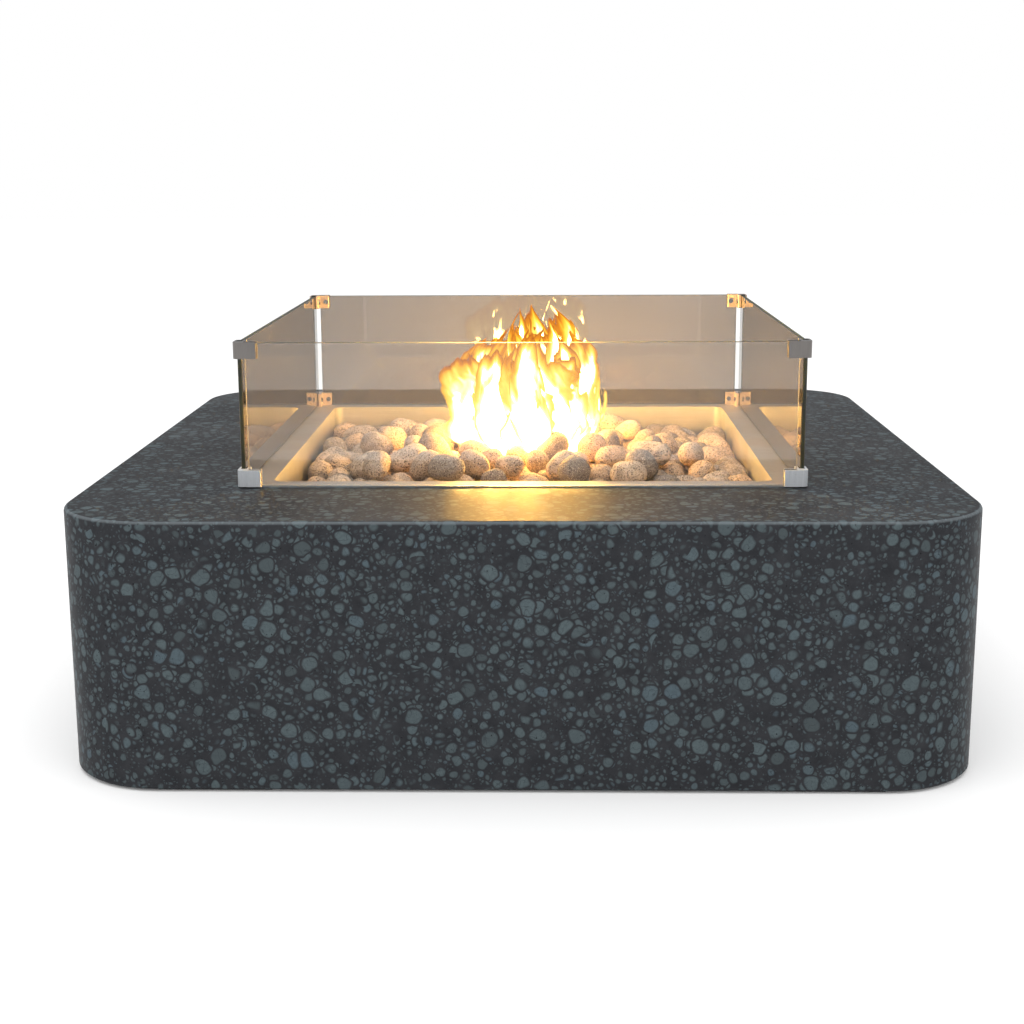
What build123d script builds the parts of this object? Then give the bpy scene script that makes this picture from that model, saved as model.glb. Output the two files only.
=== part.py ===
from build123d import *
import math
import os

import numpy as np

# A square gas fire pit table: a hollow cast shell, a drop-in pan of lava stones over a ring burner,
# a lift-off glass wind guard, a quarter-turn key valve and an access door at the rear.
# Millimetres, +Z up, the origin on the ground under the table's centre, the front facing -Y.

# Table shell
body_width = 1219.0
body_height = 362.0
corner_radius = 134.0
top_edge_radius = 6.0
rim_chamfer = 3.0
wall = 19.0
top_thickness = 25.0
cove_radius = 12.0
lip_depth = 38.0
lip_thickness = 16.0

# Foot pads under the rim
foot_height = 3.0
foot_width = 10.0
foot_length = 150.0
foot_inset = 6.0

# Fire pan
pan_opening = 704.0
pan_depth = 92.0
pan_sheet = 2.0
pan_corner = 16.0
pan_bend = 5.0
pan_gap = 3.0
flange_width = 35.0
flange_corner = 6.0
weep_hole_radius = 4.0
weep_hole_inset = 90.0

# Gravel bed and burner
bed_depth = 24.0
bed_gap = 0.4
burner_ring_radius = 130.0
burner_tube_radius = 9.5
burner_tube_wall = 1.5
burner_hub_radius = 17.0
hub_cap = 8.0
port_radius = 1.4
ring_ports = 24
spoke_ports = 3
groove_gap = 1.0
saddle_width = 34.0
saddle_thickness = 10.0
saddle_fit = 0.15

# Lava stones
stone_big_radius = (17.0, 26.0)
stone_taper = (0.74, 0.98)
stone_spine = (0.45, 0.95)
stone_pitch = 50.0
stone_edge_margin = 19.0
mound_radius = 265.0
mound_pitch = 62.0
stone_clearance = 0.3
stone_tilt = 26.0
stone_scatter = 4.0
stone_seed = 7

# How the stones are dropped, pushed apart and grown to fit
stone_samples = 7
fall_step = 0.5
falling_steps = 260
resting_steps = 240
pushes_per_step = 2
push_share = 0.35
growth_steps = 60
growth_share = 0.45
growth_limit = 2.0

# Gas line
pipe_radius = 10.65
pipe_bore_radius = 7.9
pipe_fit = 0.06
floor_hole_gap = 1.0
nut_height = 8.0
nut_radius = 18.5
nut_gap = 2.0
elbow_reach = 30.0
elbow_radius = 13.5
elbow_bend = 17.0
collar_radius = 16.5
collar_length = 13.0
socket_depth = 14.0

# Key valve
valve_setback = 34.0
valve_radius = 20.0
valve_below = 40.0
valve_above = 15.0
valve_shoulder = 4.0
inlet_collar_radius = 17.0
inlet_collar_length = 14.0
inlet_thread_radius = 10.3
inlet_thread_depth = 16.0
flow_radius = 6.5
ball_radius = 12.0
ball_fit = 0.06
chamber_radius = 14.0
chamber_half = 13.0
seat_height = 7.0
seat_gap = 0.1
retainer_height = 10.0
retainer_hex_radius = 20.0
retainer_gap = 1.0
bonnet_radius = 13.0
stem_radius = 5.0
stem_fit = 0.05
stem_recess = 1.0
tang_width = 4.0
tang_depth = 3.0
tang_length = 8.0
tang_gap = 0.2
key_square = 6.4
key_depth = 12.0
valve_nut_height = 8.0
valve_nut_radius = 19.0

# Escutcheon
escutcheon_radius = 37.5
escutcheon_thickness = 3.0
escutcheon_recess = 4.0
escutcheon_gap = 0.5
escutcheon_chamfer = 1.0
hub_wall = 3.0
hub_length = 12.0
hub_gap = 1.0
key_hole_radius = 8.0

# Vent grilles low on the side walls
vent_length = 240.0
vent_height = 44.0
vent_centre_z = 62.0
vent_border = 9.0
vent_thickness = 3.0
vent_recess = 3.5
vent_gap = 0.4
vent_collar_length = 10.0
vent_collar_wall = 2.0
vent_slot_width = 7.0
vent_slot_pitch = 14.0
vent_slot_count = 14
vent_slot_margin = 14.0

# Access door at the rear
door_centre_z = 168.0
frame_width = 340.0
frame_height = 210.0
frame_sheet = 2.0
frame_flange = 20.0
frame_stop = 22.0
frame_gap = 0.5
door_gap = 1.5
door_inset = 1.5
door_sheet = 2.0
door_return = 10.0
hinge_roll_radius = 6.0
louvre_length = 150.0
louvre_width = 8.0
louvre_pitch = 17.0
louvre_count = 6
louvre_shift = 50.0
pivot_pin_radius = 2.5
pivot_pin_length = 22.0
pivot_fit = 0.05
bush_wall = 1.5
bush_flange = 1.0
bush_rim = 1.2
pull_radius = 21.0
pull_rim = 4.0
pull_sheet = 1.5
pull_depth = 9.0
pull_fit = 0.05
pull_edge_inset = 70.0
catch_height = 44.0
catch_width = 12.0
catch_corner = 2.0
catch_face_gap = 0.3
strike_margin = 2.0
strike_thickness = 2.0

# Glass wind guard
guard_height = 201.0
guard_overhang = 8.0
glass_thickness = 6.0
glass_arris = 0.8
glass_end_gap = 1.0
gasket_thickness = 1.0
bracket_outer_wall = 3.0
bracket_inner_wall = 5.0
bracket_leg = 33.0
bracket_height = 23.0
bracket_corner = 8.0
bracket_end_radius = 1.5
slot_land = 4.0
screw_end_inset = 5.5
screw_radius = 2.4
screw_fit = 0.1
screw_head_radius = 4.0
screw_head_height = 2.6
screw_key_radius = 1.7
screw_key_depth = 1.4

# Levels and widths that follow from the sizes above
half_body = body_width / 2
table_top = body_height
slab_underside = table_top - top_thickness
wall_inner = half_body - wall
pan_outer = pan_opening + 2 * pan_sheet
table_hole = pan_outer + 2 * pan_gap
flange_outer = pan_opening + 2 * flange_width
flange_top = table_top + pan_sheet
pan_floor = flange_top - pan_depth
pan_underside = pan_floor - pan_sheet
bed_top = pan_floor + bed_depth
burner_axis_z = bed_top - burner_tube_radius
pipe_axis_z = pan_underside - nut_height - nut_gap - elbow_reach
valve_x = wall_inner - valve_setback
valve_z = pipe_axis_z - elbow_reach - retainer_gap - retainer_height - valve_above
bonnet_reach = valve_setback + wall - escutcheon_recess - escutcheon_gap
bracket_depth = bracket_outer_wall + 2 * gasket_thickness + glass_thickness + bracket_inner_wall
slot_width = glass_thickness + 2 * gasket_thickness
slot_start = bracket_outer_wall + slot_width + slot_land
guard_half = flange_outer / 2 + guard_overhang
guard_top = flange_top + guard_height

right_face = Plane(origin=(half_body, 0, 0), x_dir=(0, 1, 0), z_dir=(1, 0, 0))
left_face = Plane(origin=(-half_body, 0, 0), x_dir=(0, -1, 0), z_dir=(-1, 0, 0))
rear_face = Plane(origin=(0, half_body, 0), x_dir=(-1, 0, 0), z_dir=(0, 1, 0))
valve_section = Plane(origin=(valve_x, 0, valve_z), x_dir=(1, 0, 0), z_dir=(0, -1, 0))
valve_axis = Axis((valve_x, 0, valve_z), (0, 0, 1))
stem_plane = Plane(origin=(valve_x, 0, valve_z), x_dir=(0, 1, 0), z_dir=(1, 0, 0))

os.makedirs("parts", exist_ok=True)


def write_piece(piece, name):
    """Labels a finished piece and writes it as its own node."""
    piece.label = name
    export_step(piece, f"parts/{name}.step")


# Table shell: the hollow of the casting, with a cove under the slab
with BuildPart() as shell_hollow:
    with BuildSketch(Plane.XY.offset(foot_height)):
        RectangleRounded(2 * wall_inner, 2 * wall_inner, corner_radius - wall)
    extrude(amount=slab_underside - foot_height)
    fillet(shell_hollow.faces().sort_by(Axis.Z)[-1].edges(), cove_radius)

with BuildPart() as table_shell:
    with BuildSketch(Plane.XY.offset(foot_height)):
        RectangleRounded(body_width, body_width, corner_radius)
    extrude(amount=table_top - foot_height)
    fillet(table_shell.faces().sort_by(Axis.Z)[-1].edges(), top_edge_radius)
    chamfer(table_shell.faces().sort_by(Axis.Z)[0].edges(), rim_chamfer)
    add(shell_hollow.part, mode=Mode.SUBTRACT)
    # Downstand lip that stiffens the slab round the pan
    lip_width = table_hole + 2 * lip_thickness
    hole_corner = pan_corner + pan_sheet + pan_gap
    with BuildSketch(Plane.XY.offset(slab_underside - lip_depth)):
        RectangleRounded(lip_width, lip_width, hole_corner + lip_thickness)
    extrude(amount=lip_depth)
    with BuildSketch(Plane.XY.offset(slab_underside - lip_depth)):
        RectangleRounded(table_hole, table_hole, hole_corner)
    extrude(amount=lip_depth + top_thickness, mode=Mode.SUBTRACT)
    # Rear door opening
    with BuildSketch(rear_face):
        with Locations((0, door_centre_z)):
            Rectangle(frame_width + 2 * frame_gap, frame_height + 2 * frame_gap)
    extrude(amount=-wall, mode=Mode.SUBTRACT)
    # Vent openings, each with a recess for its grille
    for side_face in (left_face, right_face):
        with BuildSketch(side_face):
            with Locations((0, vent_centre_z)):
                SlotOverall(vent_length + 2 * vent_gap, vent_height + 2 * vent_gap)
        extrude(amount=-vent_recess, mode=Mode.SUBTRACT)
        with BuildSketch(side_face):
            with Locations((0, vent_centre_z)):
                SlotOverall(vent_length - 2 * vent_border, vent_height - 2 * vent_border)
        extrude(amount=-wall, mode=Mode.SUBTRACT)
    # Key valve hole with a recess for the escutcheon
    with BuildSketch(right_face):
        with Locations((0, valve_z)):
            Circle(escutcheon_radius + escutcheon_gap)
    extrude(amount=-escutcheon_recess, mode=Mode.SUBTRACT)
    with BuildSketch(right_face):
        with Locations((0, valve_z)):
            Circle(bonnet_radius + hub_wall + hub_gap)
    extrude(amount=-wall, mode=Mode.SUBTRACT)
write_piece(table_shell.part, "table_shell")


# Foot pads: straight rubber strips under the rim, two to a side
with BuildPart() as foot_pads:
    pad_line = half_body - rim_chamfer - foot_inset - foot_width / 2
    pad_reach = half_body - corner_radius - foot_length / 2
    with BuildSketch(Plane.XY):
        with GridLocations(2 * pad_reach, 2 * pad_line, 2, 2):
            Rectangle(foot_length, foot_width)
        with GridLocations(2 * pad_line, 2 * pad_reach, 2, 2):
            Rectangle(foot_width, foot_length)
    extrude(amount=foot_height)
write_piece(foot_pads.part, "foot_pads")


def vent_grille(side_face):
    """A stadium-shaped face plate with upright slots and a collar that plugs into the wall."""
    plate_back = side_face.offset(-vent_recess)
    collar_length_outer = vent_length - 2 * vent_border - 2 * vent_gap
    collar_height_outer = vent_height - 2 * vent_border - 2 * vent_gap
    with BuildPart() as grille:
        with BuildSketch(plate_back):
            with Locations((0, vent_centre_z)):
                SlotOverall(vent_length, vent_height)
        extrude(amount=vent_thickness)
        with BuildSketch(plate_back):
            with Locations((0, vent_centre_z)):
                SlotOverall(collar_length_outer, collar_height_outer)
                SlotOverall(
                    collar_length_outer - 2 * vent_collar_wall,
                    collar_height_outer - 2 * vent_collar_wall,
                    mode=Mode.SUBTRACT,
                )
        extrude(amount=-vent_collar_length)
        with BuildSketch(plate_back):
            with Locations((0, vent_centre_z)):
                with GridLocations(vent_slot_pitch, 0, vent_slot_count, 1):
                    SlotOverall(vent_height - 2 * vent_slot_margin, vent_slot_width, rotation=90)
        extrude(amount=vent_thickness, mode=Mode.SUBTRACT)
    return grille.part


write_piece(vent_grille(left_face), "vent_grille_left")
write_piece(vent_grille(right_face), "vent_grille_right")


# Fire pan: the hollow of the tray, then the folded sheet whose flange lies on the table top
with BuildPart() as pan_hollow:
    with BuildSketch(Plane.XY.offset(pan_floor)):
        RectangleRounded(pan_opening, pan_opening, pan_corner)
    extrude(amount=pan_depth)
    fillet(pan_hollow.faces().sort_by(Axis.Z)[0].edges(), pan_bend)

with BuildPart() as fire_pan:
    with BuildSketch(Plane.XY.offset(pan_underside)):
        RectangleRounded(pan_outer, pan_outer, pan_corner + pan_sheet)
    extrude(amount=flange_top - pan_underside)
    fillet(fire_pan.faces().sort_by(Axis.Z)[0].edges(), pan_bend + pan_sheet)
    with BuildSketch(Plane.XY.offset(table_top)):
        RectangleRounded(flange_outer, flange_outer, flange_corner)
    extrude(amount=pan_sheet)
    add(pan_hollow.part, mode=Mode.SUBTRACT)
    with BuildSketch(Plane.XY.offset(pan_underside)):
        Circle(pipe_radius + floor_hole_gap)
        with GridLocations(pan_opening - 2 * weep_hole_inset, pan_opening - 2 * weep_hole_inset, 2, 2):
            Circle(weep_hole_radius)
    extrude(amount=pan_sheet, mode=Mode.SUBTRACT)
write_piece(fire_pan.part, "fire_pan")


# Burner: a drilled ring on four spokes, hollow right through, with a hub that takes the nipple
with BuildPart() as burner_ring:
    tube_bore_radius = burner_tube_radius - burner_tube_wall
    with BuildSketch(Plane.XZ):
        with Locations((burner_ring_radius, burner_axis_z)):
            Circle(burner_tube_radius)
    revolve(axis=Axis.Z)
    for spoke_plane in (Plane.XZ, Plane.YZ):
        with BuildSketch(spoke_plane):
            with Locations((0, burner_axis_z)):
                Circle(burner_tube_radius)
        extrude(amount=burner_ring_radius, both=True)
    with BuildSketch(Plane.XY.offset(pan_floor)):
        Circle(burner_hub_radius)
    extrude(amount=bed_depth)
    with BuildSketch(Plane.XZ):
        with Locations((burner_ring_radius, burner_axis_z)):
            Circle(tube_bore_radius)
    revolve(axis=Axis.Z, mode=Mode.SUBTRACT)
    for spoke_plane in (Plane.XZ, Plane.YZ):
        with BuildSketch(spoke_plane):
            with Locations((0, burner_axis_z)):
                Circle(tube_bore_radius)
        extrude(amount=burner_ring_radius, both=True, mode=Mode.SUBTRACT)
    with BuildSketch(Plane.XY.offset(pan_floor)):
        Circle(pipe_radius + pipe_fit)
    extrude(amount=bed_depth - hub_cap, mode=Mode.SUBTRACT)
    with BuildSketch(Plane.XY.offset(burner_axis_z)):
        with PolarLocations(burner_ring_radius, ring_ports, start_angle=180 / ring_ports):
            Circle(port_radius)
        port_step = (burner_ring_radius - burner_hub_radius) / (spoke_ports + 1)
        for port in range(1, spoke_ports + 1):
            with PolarLocations(burner_hub_radius + port * port_step, 4):
                Circle(port_radius)
    extrude(amount=burner_tube_radius, mode=Mode.SUBTRACT)
write_piece(burner_ring.part, "burner_ring")


# Saddles: notched blocks on the pan floor that carry the ring between its spokes
with BuildPart() as burner_saddles:
    with BuildSketch(Plane.XY.offset(pan_floor)):
        with PolarLocations(burner_ring_radius, 4, start_angle=45):
            Rectangle(saddle_width, saddle_thickness)
    extrude(amount=burner_axis_z - pan_floor)
    with BuildSketch(Plane.XZ):
        with Locations((burner_ring_radius, burner_axis_z)):
            Circle(burner_tube_radius + saddle_fit)
    revolve(axis=Axis.Z, mode=Mode.SUBTRACT)
write_piece(burner_saddles.part, "burner_saddles")


# Gravel bed: levels the tray up to the top of the burner, which lies in a groove
with BuildPart() as lava_gravel_bed:
    bed_width = pan_opening - 2 * bed_gap
    with BuildSketch(Plane.XY.offset(pan_floor)):
        RectangleRounded(bed_width, bed_width, pan_corner)
    extrude(amount=bed_depth)
    chamfer(lava_gravel_bed.faces().sort_by(Axis.Z)[0].edges(), pan_bend)
    groove_floor = burner_axis_z - burner_tube_radius - groove_gap
    groove_half = burner_tube_radius + groove_gap
    with BuildSketch(Plane.XY.offset(groove_floor)):
        Circle(burner_ring_radius + groove_half)
        Circle(burner_ring_radius - groove_half, mode=Mode.SUBTRACT)
        Rectangle(2 * burner_ring_radius, 2 * groove_half)
        Rectangle(2 * groove_half, 2 * burner_ring_radius)
    extrude(amount=bed_top - groove_floor, mode=Mode.SUBTRACT)
    with BuildSketch(Plane.XY.offset(pan_floor)):
        Circle(burner_hub_radius + groove_gap)
        with PolarLocations(burner_ring_radius, 4, start_angle=45):
            Rectangle(saddle_width + 2 * groove_gap, saddle_thickness + 2 * groove_gap)
    extrude(amount=bed_depth, mode=Mode.SUBTRACT)
write_piece(lava_gravel_bed.part, "lava_gravel_bed")


# Gas line under the pan: nipple, lock nut, elbow, feed pipe and the elbow over the valve
with BuildPart() as burner_nipple:
    nipple_bottom = pipe_axis_z + elbow_reach - socket_depth
    nipple_top = bed_top - hub_cap
    with BuildSketch(Plane.XY.offset(nipple_bottom)):
        Circle(pipe_radius)
        Circle(pipe_bore_radius, mode=Mode.SUBTRACT)
    extrude(amount=nipple_top - nipple_bottom)
write_piece(burner_nipple.part, "burner_nipple")

with BuildPart() as nipple_nut:
    with BuildSketch(Plane.XY.offset(pan_underside - nut_height)):
        RegularPolygon(nut_radius, 6)
        Circle(pipe_radius + pipe_fit, mode=Mode.SUBTRACT)
    extrude(amount=nut_height)
write_piece(nipple_nut.part, "nipple_nut")


def pipe_elbow(bend_plane):
    """A right-angle elbow with a banded socket at each end, the corner of its run at the plane's origin."""
    with BuildPart() as elbow:
        with BuildLine(bend_plane) as run:
            FilletPolyline((0, elbow_reach), (0, 0), (elbow_reach, 0), radius=elbow_bend)
        mouth_planes = (
            Plane(run.line @ 0, z_dir=run.line % 0),
            Plane(run.line @ 1, z_dir=-(run.line % 1)),
        )
        with BuildSketch(mouth_planes[0]):
            Circle(elbow_radius)
        sweep(path=run.line)
        for mouth in mouth_planes:
            with BuildSketch(mouth):
                Circle(collar_radius)
            extrude(amount=collar_length)
        with BuildSketch(mouth_planes[0]):
            Circle(pipe_bore_radius)
        sweep(path=run.line, mode=Mode.SUBTRACT)
        for mouth in mouth_planes:
            with BuildSketch(mouth):
                Circle(pipe_radius + pipe_fit)
            extrude(amount=socket_depth, mode=Mode.SUBTRACT)
    return elbow.part


burner_bend = Plane(origin=(0, 0, pipe_axis_z), x_dir=(1, 0, 0), z_dir=(0, -1, 0))
valve_bend = Plane(origin=(valve_x, 0, pipe_axis_z), x_dir=(-1, 0, 0), z_dir=(0, -1, 0))
write_piece(pipe_elbow(burner_bend), "burner_elbow")
write_piece(pipe_elbow(valve_bend), "valve_elbow")

with BuildPart() as feed_pipe:
    feed_start = elbow_reach - socket_depth
    with BuildSketch(Plane.YZ.offset(feed_start)):
        with Locations((0, pipe_axis_z)):
            Circle(pipe_radius)
            Circle(pipe_bore_radius, mode=Mode.SUBTRACT)
    extrude(amount=valve_x - 2 * feed_start)
write_piece(feed_pipe.part, "feed_pipe")


# Key valve: a ball between two seats, turned from outside by a square key in the stem
with BuildPart() as valve_body:
    with BuildSketch(valve_section):
        with BuildLine():
            Polyline(
                (0, -valve_below),
                (inlet_collar_radius, -valve_below),
                (inlet_collar_radius, -valve_below + inlet_collar_length),
                (valve_radius, -valve_below + inlet_collar_length + valve_shoulder),
                (valve_radius, valve_above),
                (0, valve_above),
                close=True,
            )
        make_face()
    revolve(axis=valve_axis)
    with BuildSketch(stem_plane):
        Circle(bonnet_radius)
    extrude(amount=bonnet_reach)
    with BuildSketch(Plane.XY.offset(valve_z - chamber_half)):
        with Locations((valve_x, 0)):
            Circle(chamber_radius)
    extrude(amount=chamber_half + valve_above, mode=Mode.SUBTRACT)
    with BuildSketch(Plane.XY.offset(valve_z - valve_below)):
        with Locations((valve_x, 0)):
            Circle(flow_radius)
    extrude(amount=valve_below, mode=Mode.SUBTRACT)
    with BuildSketch(Plane.XY.offset(valve_z - valve_below)):
        with Locations((valve_x, 0)):
            Circle(inlet_thread_radius)
    extrude(amount=inlet_thread_depth, mode=Mode.SUBTRACT)
    with BuildSketch(stem_plane):
        Circle(stem_radius + stem_fit)
    extrude(amount=bonnet_reach, mode=Mode.SUBTRACT)
write_piece(valve_body.part, "valve_body")

with BuildPart() as valve_retainer:
    retainer_top = valve_z + valve_above + retainer_height
    with BuildSketch(Plane.XY.offset(valve_z + chamber_half)):
        with Locations((valve_x, 0)):
            Circle(chamber_radius - seat_gap)
    extrude(amount=valve_above - chamber_half)
    with BuildSketch(Plane.XY.offset(valve_z + valve_above)):
        with Locations((valve_x, 0)):
            RegularPolygon(retainer_hex_radius, 6)
    extrude(amount=retainer_height)
    with BuildSketch(Plane.XY.offset(retainer_top)):
        with Locations((valve_x, 0)):
            Circle(pipe_radius)
    extrude(amount=retainer_gap + socket_depth)
    with BuildSketch(Plane.XY.offset(valve_z + chamber_half)):
        with Locations((valve_x, 0)):
            Circle(flow_radius)
    extrude(amount=retainer_top + retainer_gap + socket_depth - valve_z - chamber_half, mode=Mode.SUBTRACT)
write_piece(valve_retainer.part, "valve_retainer")

with BuildPart() as valve_seats:
    for seat_level in (valve_z - chamber_half, valve_z + chamber_half - seat_height):
        with BuildSketch(Plane.XY.offset(seat_level)):
            with Locations((valve_x, 0)):
                Circle(chamber_radius - seat_gap)
                Circle(flow_radius, mode=Mode.SUBTRACT)
        extrude(amount=seat_height)
    with Locations((valve_x, 0, valve_z)):
        Sphere(ball_radius + ball_fit, mode=Mode.SUBTRACT)
write_piece(valve_seats.part, "valve_seats")

with BuildPart() as valve_ball:
    with Locations((valve_x, 0, valve_z)):
        Sphere(ball_radius)
        Cylinder(flow_radius, 2 * ball_radius, mode=Mode.SUBTRACT)
    with BuildSketch(stem_plane.offset(ball_radius - tang_depth)):
        Rectangle(tang_width + 2 * tang_gap, 2 * ball_radius)
    extrude(amount=tang_depth, mode=Mode.SUBTRACT)
write_piece(valve_ball.part, "valve_ball")

with BuildPart() as valve_stem:
    with BuildSketch(stem_plane.offset(ball_radius + tang_gap)):
        Circle(stem_radius)
    extrude(amount=bonnet_reach - stem_recess - ball_radius - tang_gap)
    with BuildSketch(stem_plane.offset(ball_radius - tang_depth + tang_gap)):
        Rectangle(tang_width, tang_length)
    extrude(amount=tang_depth)
    with BuildSketch(stem_plane.offset(bonnet_reach - stem_recess)):
        Rectangle(key_square, key_square)
    extrude(amount=-key_depth, mode=Mode.SUBTRACT)
write_piece(valve_stem.part, "valve_stem")

with BuildPart() as valve_nut:
    with BuildSketch(stem_plane.offset(valve_setback - valve_nut_height)):
        RegularPolygon(valve_nut_radius, 6)
        Circle(bonnet_radius + pipe_fit, mode=Mode.SUBTRACT)
    extrude(amount=valve_nut_height)
write_piece(valve_nut.part, "valve_nut")

# Escutcheon: screws on to the valve's bonnet and clamps the wall against the lock nut
with BuildPart() as escutcheon:
    plate_seat = right_face.offset(-escutcheon_recess)
    with BuildSketch(plate_seat):
        with Locations((0, valve_z)):
            Circle(escutcheon_radius)
    extrude(amount=escutcheon_thickness)
    chamfer(escutcheon.faces().sort_by(Axis.X)[-1].edges(), escutcheon_chamfer)
    with BuildSketch(plate_seat):
        with Locations((0, valve_z)):
            Circle(bonnet_radius + hub_wall)
            Circle(bonnet_radius + pipe_fit, mode=Mode.SUBTRACT)
    extrude(amount=-hub_length)
    with BuildSketch(plate_seat):
        with Locations((0, valve_z)):
            Circle(key_hole_radius)
    extrude(amount=escutcheon_thickness, mode=Mode.SUBTRACT)
write_piece(escutcheon.part, "escutcheon")


# Access door: a sleeve frame in the rear wall, with a stop lip inside and a flange against the wall
door_width = frame_width - 2 * frame_sheet - 2 * door_gap
door_height = frame_height - 2 * frame_sheet - 2 * door_gap
hinge_x = door_width / 2 - hinge_roll_radius
hinge_y = half_body - door_inset - hinge_roll_radius
door_skin_y = half_body - door_inset
sleeve_top = frame_height / 2
bush_radius = pivot_pin_radius + pivot_fit + bush_wall
bush_levels = (door_centre_z - sleeve_top, door_centre_z + sleeve_top)

with BuildPart() as door_frame:
    frame_back = rear_face.offset(-wall - frame_sheet)
    with BuildSketch(frame_back):
        with Locations((0, door_centre_z)):
            Rectangle(frame_width, frame_height)
            Rectangle(frame_width - 2 * frame_sheet, frame_height - 2 * frame_sheet, mode=Mode.SUBTRACT)
    extrude(amount=wall + frame_sheet)
    with BuildSketch(frame_back):
        with Locations((0, door_centre_z)):
            Rectangle(frame_width + 2 * frame_flange, frame_height + 2 * frame_flange)
            Rectangle(
                frame_width - 2 * frame_sheet - 2 * frame_stop,
                frame_height - 2 * frame_sheet - 2 * frame_stop,
                mode=Mode.SUBTRACT,
            )
    extrude(amount=frame_sheet)
    with BuildSketch(Plane.XY.offset(door_centre_z - sleeve_top)):
        with Locations((hinge_x, hinge_y)):
            Circle(bush_radius + pivot_fit)
    extrude(amount=frame_height, mode=Mode.SUBTRACT)
write_piece(door_frame.part, "door_frame")

# Bushes: flanged sleeves in the frame that the pivot pins turn in
with BuildPart() as pivot_bushes:
    for bush_level, inward in zip(bush_levels, (1, -1)):
        with BuildSketch(Plane.XY.offset(bush_level)):
            with Locations((hinge_x, hinge_y)):
                Circle(bush_radius)
        extrude(amount=inward * frame_sheet)
        with BuildSketch(Plane.XY.offset(bush_level + inward * frame_sheet)):
            with Locations((hinge_x, hinge_y)):
                Circle(bush_radius + bush_rim)
        extrude(amount=inward * bush_flange)
        with BuildSketch(Plane.XY.offset(bush_level)):
            with Locations((hinge_x, hinge_y)):
                Circle(pivot_pin_radius + pivot_fit)
        extrude(amount=inward * (frame_sheet + bush_flange), mode=Mode.SUBTRACT)
write_piece(pivot_bushes.part, "pivot_bushes")

# Magnetic catch on the stop lip, its face just short of the strike plate on the door
catch_x = -(frame_width / 2 - frame_sheet - frame_stop + catch_width / 2 + strike_margin)
catch_back_y = half_body - wall
catch_face_y = door_skin_y - door_sheet - strike_thickness - catch_face_gap
with BuildPart() as magnet_catch:
    with BuildSketch(Plane.XZ.offset(-catch_back_y)):
        with Locations((catch_x, door_centre_z)):
            RectangleRounded(catch_width, catch_height, catch_corner)
    extrude(amount=-(catch_face_y - catch_back_y))
write_piece(magnet_catch.part, "magnet_catch")

# Door leaf: a folded sheet with a rolled hinge edge, louvre slots and a hole for the pull
with BuildPart() as door_leaf:
    with BuildSketch(Plane.XY.offset(door_centre_z - door_height / 2)):
        with Locations((-door_width / 2, door_skin_y)):
            Rectangle(door_width - hinge_roll_radius, door_sheet, align=(Align.MIN, Align.MAX))
            Rectangle(door_sheet, door_sheet + door_return, align=(Align.MIN, Align.MAX))
        with Locations((hinge_x, hinge_y)):
            Circle(hinge_roll_radius)
    extrude(amount=door_height)
    for edge_level, inward in ((-door_height / 2, 1), (door_height / 2, -1)):
        with BuildSketch(Plane.XY.offset(door_centre_z + edge_level)):
            with Locations((-door_width / 2, door_skin_y)):
                Rectangle(
                    door_width - hinge_roll_radius, door_sheet + door_return, align=(Align.MIN, Align.MAX)
                )
        extrude(amount=inward * door_sheet)
    with BuildSketch(Plane.XY.offset(door_centre_z - door_height / 2)):
        with Locations((hinge_x, hinge_y)):
            Circle(pivot_pin_radius + pivot_fit)
    extrude(amount=door_height, mode=Mode.SUBTRACT)
    pull_x = door_width / 2 - pull_edge_inset
    with BuildSketch(rear_face.offset(-door_inset)):
        with Locations((pull_x, door_centre_z)):
            Circle(pull_radius + pull_fit)
        with Locations((-louvre_shift, door_centre_z)):
            with GridLocations(0, louvre_pitch, 1, louvre_count):
                SlotOverall(louvre_length, louvre_width)
    extrude(amount=-door_sheet, mode=Mode.SUBTRACT)
write_piece(door_leaf.part, "door_leaf")

# Pivot pins at both ends of the rolled edge
with BuildPart() as pivot_pins:
    for pin_level, inward in zip(bush_levels, (1, -1)):
        with BuildSketch(Plane.XY.offset(pin_level)):
            with Locations((hinge_x, hinge_y)):
                Circle(pivot_pin_radius)
        extrude(amount=inward * pivot_pin_length)
write_piece(pivot_pins.part, "pivot_pins")

# Recessed pull: a shallow cup whose mouth is half covered, so that a finger hooks behind it
with BuildPart() as door_pull:
    pull_face = rear_face.offset(-door_inset)
    with BuildSketch(pull_face):
        with Locations((pull_x, door_centre_z)):
            Circle(pull_radius + pull_rim)
    extrude(amount=pull_sheet)
    with BuildSketch(pull_face):
        with Locations((pull_x, door_centre_z)):
            Circle(pull_radius)
    extrude(amount=-pull_depth)
    with BuildSketch(pull_face):
        with Locations((pull_x, door_centre_z)):
            Circle(pull_radius - pull_sheet)
    extrude(amount=-(pull_depth - pull_sheet), mode=Mode.SUBTRACT)
    with BuildSketch(pull_face):
        with Locations((pull_x, door_centre_z)):
            Circle(pull_radius - pull_sheet)
            Rectangle(pull_radius, 2 * pull_radius, align=(Align.MAX, Align.CENTER), mode=Mode.INTERSECT)
    extrude(amount=pull_sheet, mode=Mode.SUBTRACT)
write_piece(door_pull.part, "door_pull")

with BuildPart() as strike_plate:
    with BuildSketch(Plane.XZ.offset(-(door_skin_y - door_sheet - strike_thickness))):
        with Locations((catch_x, door_centre_z)):
            Rectangle(catch_width + strike_margin, catch_height + 2 * strike_margin)
    extrude(amount=-strike_thickness)
write_piece(strike_plate.part, "strike_plate")


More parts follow.
